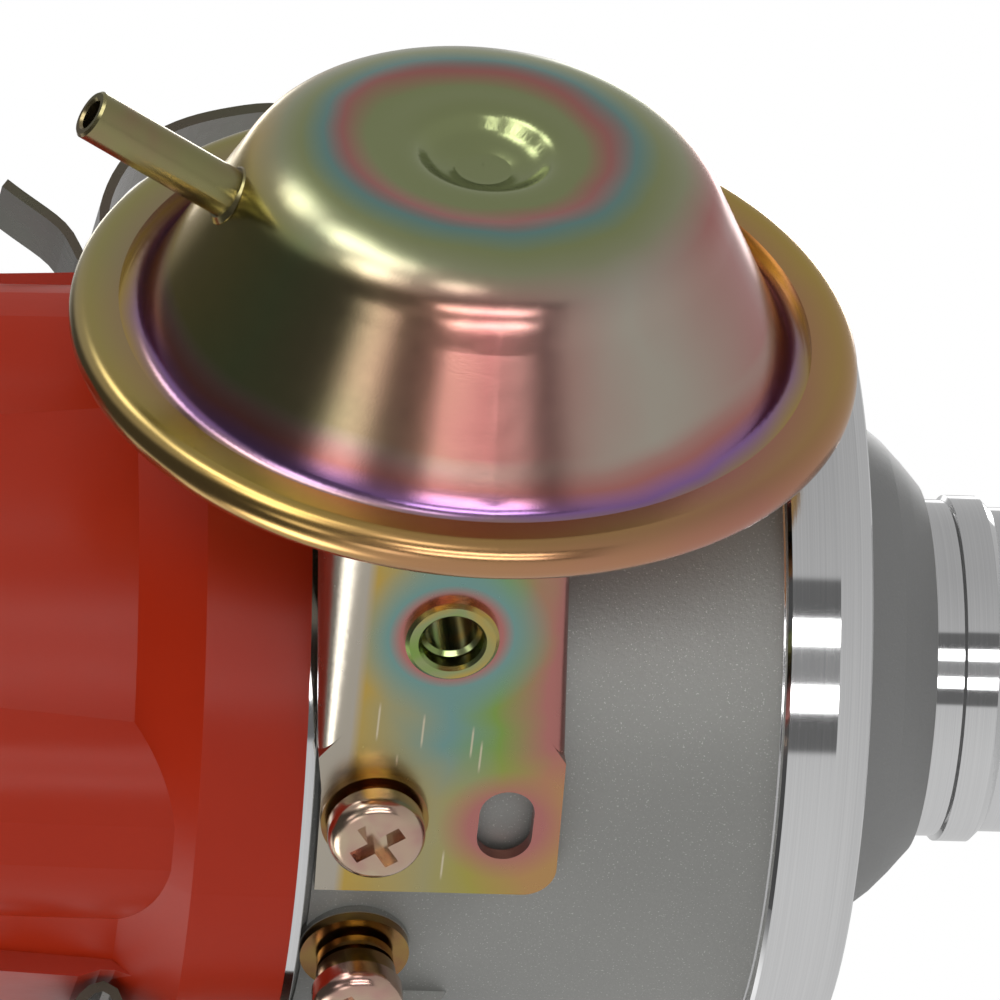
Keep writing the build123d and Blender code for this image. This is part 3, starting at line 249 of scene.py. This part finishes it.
# Few stops each: plain zinc, the canister from its middle outward, its wall and its rolled edge round one turn,
# the edge from its inner to its outer side, and the bracket from its cap side to its foot side
PLAIN_TINTS = [(0.25, PINK), (0.40, GOLD), (0.52, OLIVE), (0.66, GREEN), (0.80, TEAL)]
# The crown's pale stretch from 0.45 is a painted highlight on the shoulder; the other stops are plating tints
CROWN_TINTS_AND_SHOULDER_HIGHLIGHT = [(0.17, OLIVE), (0.21, PINK), (0.25, TEAL), (0.30, OLIVE), (0.45, PALE), (0.75, PALE),
               (0.85, PINK), (0.90, VIOLET), (0.95, GOLD)]
WALL_TINTS = [(0.30, PINK), (0.40, PALE), (0.50, PINK), (0.65, OLIVE), (0.80, GOLD)]
ROLL_TINTS = [(0.20, GOLD), (0.40, PINK), (0.60, GOLD), (0.80, OLIVE)]
LIP_TINTS = [(0.0, PINK), (0.5, GOLD), (1.0, PINK)]
BRACKET_TINTS = [(0.1, GOLD), (0.5, TEAL), (0.7, GREEN), (0.9, PINK)]

# Places on the canister in mm: its axis, its rolled edge's height, the coloured ring's middle, the way outward
CAN_X, CAN_Z = 17.5, 48.9
ROLL_Y = 44.1
RING_X, RING_Z = 17.2, 49.4
RING_SQUEEZE = 1.04
RING_FADE = (18.0, 13.0)
DOME_TOP = 17.0
DOME_PATH = 46.0
WALL_PATH = (16.0, 20.0, 35.5, 37.5)
LIP_R = 27.0
LIP_W = 5.0

# Places on the bracket's face in mm along Y and Z
PLATE_Z = (58.6, 38.9)
LOWER_Y = (15.5, 10.0)
EYELET = (26.2, 49.4)
SLOT = (7.7, 43.3)
# Heights along Z of the painted highlight along the bend
BEND_HIGHLIGHT_Z = (55.7, 56.5)
# Thin bare scratches on the bracket, each with its place along Y and Z and its length
SCRATCHES = ((17.7, 54.4, 4.0), (16.9, 50.8, 3.6), (13.9, 52.6, 1.6), (15.9, 46.8, 3.4), (14.5, 46.0, 3.4),
             (3.6, 48.0, 3.2))


def plain_zinc(g, p, x, y, z):
    return g.ramp(g.noise(p, 0.16, 2.0, 0.5, 0.6), PLAIN_TINTS)


def drift_of(g, p, scale, distortion):
    """Slow noise about zero."""
    return g.math("SUBTRACT", g.noise(p, scale, 2.0, 0.5, distortion), 0.5)


def around(g, x, y, z):
    """Radius and height on the canister, and the angle round it from +X toward +Z in degrees."""
    across = g.math("SUBTRACT", x, CAN_X)
    along = g.math("SUBTRACT", z, CAN_Z)
    turn = g.math("MULTIPLY", g.math("ARCTAN2", along, across), 180 / math.pi)
    return g.far(across, along), g.math("SUBTRACT", y, ROLL_Y), turn


def whole_turn(g, turn, drift, sway):
    """0 to 1 for one turn of degrees, swayed by drift."""
    turn = g.math("ADD", turn, g.math("MULTIPLY", drift, sway))
    return g.math("DIVIDE", g.math("ADD", turn, 180.0), 360.0)


def dome_zinc(g, p, x, y, z):
    def path_of(radius):
        """Way along the surface from the crown's middle."""
        return g.math("SUBTRACT", g.math("ADD", radius, DOME_TOP), height)

    radius, height, turn = around(g, x, y, z)
    ring = g.far(g.math("MULTIPLY", g.math("SUBTRACT", x, RING_X), RING_SQUEEZE), g.math("SUBTRACT", z, RING_Z))
    path = g.mixf(g.band(radius, *RING_FADE), path_of(radius), path_of(ring))
    drift = drift_of(g, p, 0.06, 0.4)
    path = g.math("ADD", path, g.math("MULTIPLY", drift, 3.0))
    # Crown colour, with the painted shoulder highlight in its pale stretch
    crown = g.ramp(g.math("DIVIDE", path, DOME_PATH), CROWN_TINTS_AND_SHOULDER_HIGHLIGHT)
    wall = g.ramp(whole_turn(g, turn, drift, 26.0), WALL_TINTS)
    on_wall = g.math("MULTIPLY", g.band(path, *WALL_PATH[:2]), g.until(path, *WALL_PATH[2:]))
    return g.mix(on_wall, crown, wall)


def roll_zinc(g, p, x, y, z):
    radius, height, turn = around(g, x, y, z)
    ring = g.ramp(whole_turn(g, turn, drift_of(g, p, 0.05, 0.3), 50.0), ROLL_TINTS)
    lip = g.ramp(g.math("DIVIDE", g.math("SUBTRACT", radius, LIP_R), LIP_W), LIP_TINTS)
    return g.mix(0.4, ring, lip)


def bracket_zinc(g, p, x, y, z):
    def spot(place):
        """Distance from a place on the face."""
        return g.far(g.math("SUBTRACT", y, place[0]), g.math("SUBTRACT", z, place[1]))

    def line(cy, cz, length):
        """1 on a thin line across the plate, centred at cy, cz."""
        off = g.math("ABSOLUTE", g.math("SUBTRACT", z, cz))
        ends = g.math("ABSOLUTE", g.math("SUBTRACT", y, cy))
        return g.math("MULTIPLY", g.until(off, 0.03, 0.12), g.until(ends, length / 2 - 0.8, length / 2))

    side = g.math("DIVIDE", g.math("SUBTRACT", PLATE_Z[0], z), PLATE_Z[0] - PLATE_Z[1])
    tint = g.math("ADD", side, g.math("MULTIPLY", drift_of(g, p, 0.12, 0.3), 0.3))
    colour = g.ramp(tint, BRACKET_TINTS)
    colour = g.mix(g.math("MULTIPLY", g.band(y, *LOWER_Y), 0.6), colour, GOLD)
    colour = g.mix(g.until(spot(EYELET), 5.0, 8.0), colour, TEAL)
    colour = g.mix(g.until(spot(EYELET), 4.0, 5.0), colour, PINK)
    colour = g.mix(g.until(spot(SLOT), 3.0, 5.5), colour, PINK)
    # Painted highlight: pale colour along the bend
    colour = g.mix(g.band(z, *BEND_HIGHLIGHT_Z), colour, PALE)
    marks = 0.0
    for scratch in SCRATCHES:
        marks = g.math("MAXIMUM", marks, line(*scratch))
    return g.mix(g.math("MULTIPLY", marks, 0.75), colour, BARE)


def plain(name, colour, metallic, rough, scale=1.0, strength=0.05):
    """One colour that darkens a little in clouds."""
    mat, g, b = material(name)
    p, x, y, z = g.here()
    tone = g.noise(p, scale, 4.0, 0.6)
    g.put(b.inputs["Base Color"], g.mix(tone, colour, tuple(c * 0.8 for c in colour)))
    b.inputs["Metallic"].default_value = metallic
    g.put(b.inputs["Roughness"], g.mixf(tone, rough, min(1.0, rough + 0.1)))
    g.put(b.inputs["Normal"], g.bump(g.noise(p, scale * 4, 3.0, 0.6), strength, 0.0001))
    return mat


def two_tone(low, high, scale=0.12):
    """Zinc that runs between two tones."""
    def colour_of(g, p, x, y, z):
        return g.mix(g.band(g.noise(p, scale, 2.0, 0.5, 0.4), 0.35, 0.65), low, high)
    return colour_of


zinc = plated("yellow_zinc", plain_zinc)
nipple_mat = plated("yellow_zinc_nipple", two_tone(srgb(146, 142, 98), srgb(150, 122, 98)), (0.22, 0.28))
screw_tones = two_tone(srgb(196, 176, 150), srgb(188, 150, 138), 0.25)
screw_mat = plated("yellow_zinc_screws", screw_tones, (0.16, 0.22))
washer_tones = two_tone(srgb(150, 122, 70), srgb(140, 100, 70), 0.3)
washer_mat = plated("yellow_zinc_washers", washer_tones, (0.18, 0.26))
clip_mat = plated("yellow_zinc_clips", two_tone(srgb(86, 84, 70), srgb(90, 80, 72), 0.1), (0.24, 0.32))
dome_mat = plated("yellow_zinc_dome", dome_zinc, (0.17, 0.23))
roll_mat = plated("yellow_zinc_roll", roll_zinc, (0.19, 0.24))
bracket_mat = plated("yellow_zinc_bracket", bracket_zinc, (0.22, 0.30))
steel = plain("machined_steel", srgb(170, 170, 172), 1.0, 0.28)
spring_steel = plain("spring_wire", srgb(130, 130, 128), 1.0, 0.3)
black = plain("black_moulding", srgb(34, 34, 35), 0.0, 0.45, 0.6)
rubber = plain("black_rubber", srgb(26, 26, 26), 0.0, 0.65, 0.8, strength=0.12)
brass = plain("turned_brass", srgb(205, 178, 110), 1.0, 0.25)
bronze = plain("sintered_bronze", srgb(165, 118, 75), 1.0, 0.4, 2.0)
carbon = plain("pressed_carbon", srgb(40, 40, 42), 0.2, 0.5, 2.0)
felt = plain("oiled_felt", srgb(150, 140, 120), 0.0, 0.9, 2.5, strength=0.4)

dress(housing_material(), "housing")
dress(cap_material(), "cap")
dress(zinc, "clip_pins", "bracket_eyelet", "pull_rod")
dress(clip_mat, "spring_clip_a", "spring_clip_b")
dress(screw_mat, "bracket_screw", "side_screw")
dress(washer_mat, "screw_washers")
dress(nipple_mat, "vacuum_nipple")
dress(roll_mat, "canister_back_shell")
dress(dome_mat, "canister_front_shell")
dress(bracket_mat, "vacuum_bracket")
dress(steel, "drive_shaft", "drive_dog", "dog_pin", "thrust_washers", "weight_plate", "weight_pins",
      "spring_posts", "flyweight_a", "flyweight_b", "cam_sleeve", "bearing_plate", "plate_screws",
      "pickup_plate", "rod_pin", "module_screws", "trigger_ring", "diaphragm_cups")
dress(spring_steel, "advance_spring_a", "advance_spring_b", "retaining_ring", "brush_spring",
      "diaphragm_spring")
dress(black, "pickup_module", "rotor_arm", "dust_shield")
dress(rubber, "o_ring", "lead_grommet", "diaphragm_rim", "diaphragm")
dress(brass, "rotor_blade", "tower_terminals", "centre_contact")
dress(bronze, "upper_bush", "lower_bush")
dress(carbon, "carbon_brush")
dress(felt, "felt_wick")

# Pale floor under the shaft's foot
FLOOR_R = 2.5
bm = bmesh.new()
bmesh.ops.create_circle(bm, cap_ends=True, segments=96, radius=FLOOR_R)
floor_mesh = bpy.data.meshes.new("floor")
bm.to_mesh(floor_mesh)
bm.free()
floor = bpy.data.objects.new("floor", floor_mesh)
floor.location = (0, 0, cad_box[0][2])
bpy.context.scene.collection.objects.link(floor)
floor_mat = bpy.data.materials.new("pale_floor")
floor_mat.use_nodes = True
g = Graph(floor_mat.node_tree)
soft = g.node("ShaderNodeBsdfDiffuse", {"Color": srgb(232, 232, 232)})
white = g.node("ShaderNodeEmission", {"Color": (1.0, 1.0, 1.0), "Strength": 1.0})
rays = g.node("ShaderNodeLightPath").outputs
clear = g.node("ShaderNodeBsdfTransparent")
pick = g.node("ShaderNodeMixShader", {0: rays["Is Glossy Ray"], 1: soft.outputs[0], 2: clear.outputs[0]})
pick = g.node("ShaderNodeMixShader", {0: rays["Is Camera Ray"], 1: pick.outputs[0], 2: white.outputs[0]})
g.node("ShaderNodeOutputMaterial", {0: pick.outputs[0]})
floor_mesh.materials.append(floor_mat)

# Studio in the camera's own axes: pale all round, a dark strip behind the camera with two bright bars in it
SHADE_LEVEL = (0.72, 0.46)
LEFT_LEVEL = 0.08
PANEL_LEVEL = 0.16
PANEL_HALF = 24.5
MIDDLE_LEVEL = 0.34
MIDDLE_HALF = 5.0
BAR_LEVEL = 7.0
BAR_FROM, BAR_TO = 6.2, 13.0
# Soft round lights: direction as rise, side and front, reach in degrees, and strength
GLOWS = (
    (0.62, -0.43, 0.65, 14.0, 5.0), (0.87, -0.50, -0.01, 13.0, 4.0), (0.85, -0.39, 0.36, 13.0, 5.0),
    (0.80, -0.25, 0.54, 11.0, 4.0), (0.62, 0.02, 0.78, 9.0, 4.0), (-0.13, -0.60, 0.79, 12.0, 2.4),
    (-0.50, -0.30, 0.80, 12.0, 2.0), (-0.45, -0.74, -0.48, 22.0, 1.5), (-0.78, -0.62, 0.05, 20.0, 6.0),
    (0.26, 0.22, -0.94, 12.0, 9.0), (0.26, -0.24, -0.94, 8.0, 4.0),
)

world = bpy.data.worlds.new("studio")
bpy.context.scene.world = world
world.use_nodes = True
g = Graph(world.node_tree)
way = g.node("ShaderNodeTexCoord").outputs["Generated"]


def along(direction):
    n = g.node("ShaderNodeVectorMath", {0: way, 1: tuple(direction)}, operation="DOT_PRODUCT")
    return n.outputs["Value"]


rise, side, front = along(UP), along(RIGHT), along(TOWARD)
size = g.math("ABSOLUTE", g.math("MULTIPLY", g.math("ARCTAN2", rise, front), 180 / math.pi))
ahead = g.band(front, 0.0, 0.05)
level = g.mixf(g.band(rise, -0.9, 0.9), *SHADE_LEVEL)
left = g.math("MULTIPLY", g.until(side, -0.65, -0.30), g.inside(rise, -0.55, 0.35, 0.2))
level = g.mixf(left, level, LEFT_LEVEL)
panel = g.math("MULTIPLY", g.inside(size, -1.0, PANEL_HALF, 1.5), g.inside(side, -0.45, 0.55, 0.1))
panel = g.math("MULTIPLY", panel, ahead)
level = g.mixf(panel, level, PANEL_LEVEL)
level = g.mixf(g.math("MULTIPLY", panel, g.inside(size, -1.0, MIDDLE_HALF, 1.5)), level, MIDDLE_LEVEL)
bar = g.math("MULTIPLY", g.inside(size, BAR_FROM, BAR_TO, 0.5), g.inside(side, -0.12, 0.42, 0.02))
level = g.mixf(g.math("MULTIPLY", bar, ahead), level, BAR_LEVEL)
for rise_at, side_at, front_at, reach, strength in GLOWS:
    to = (UP * rise_at + RIGHT * side_at + TOWARD * front_at).normalized()
    near = g.band(along(to), math.cos(math.radians(reach)), 1.0)
    level = g.math("ADD", level, g.math("MULTIPLY", g.math("MULTIPLY", near, near), strength))
studio = g.node("ShaderNodeBackground", {"Color": (1.0, 1.0, 1.0), "Strength": level})
plain_white = g.node("ShaderNodeBackground", {"Color": (1.0, 1.0, 1.0), "Strength": 1.0})
camera_ray = g.node("ShaderNodeLightPath").outputs["Is Camera Ray"]
pick = g.node("ShaderNodeMixShader", {0: camera_ray, 1: studio.outputs[0], 2: plain_white.outputs[0]})
g.node("ShaderNodeOutputWorld", {0: pick.outputs[0]})
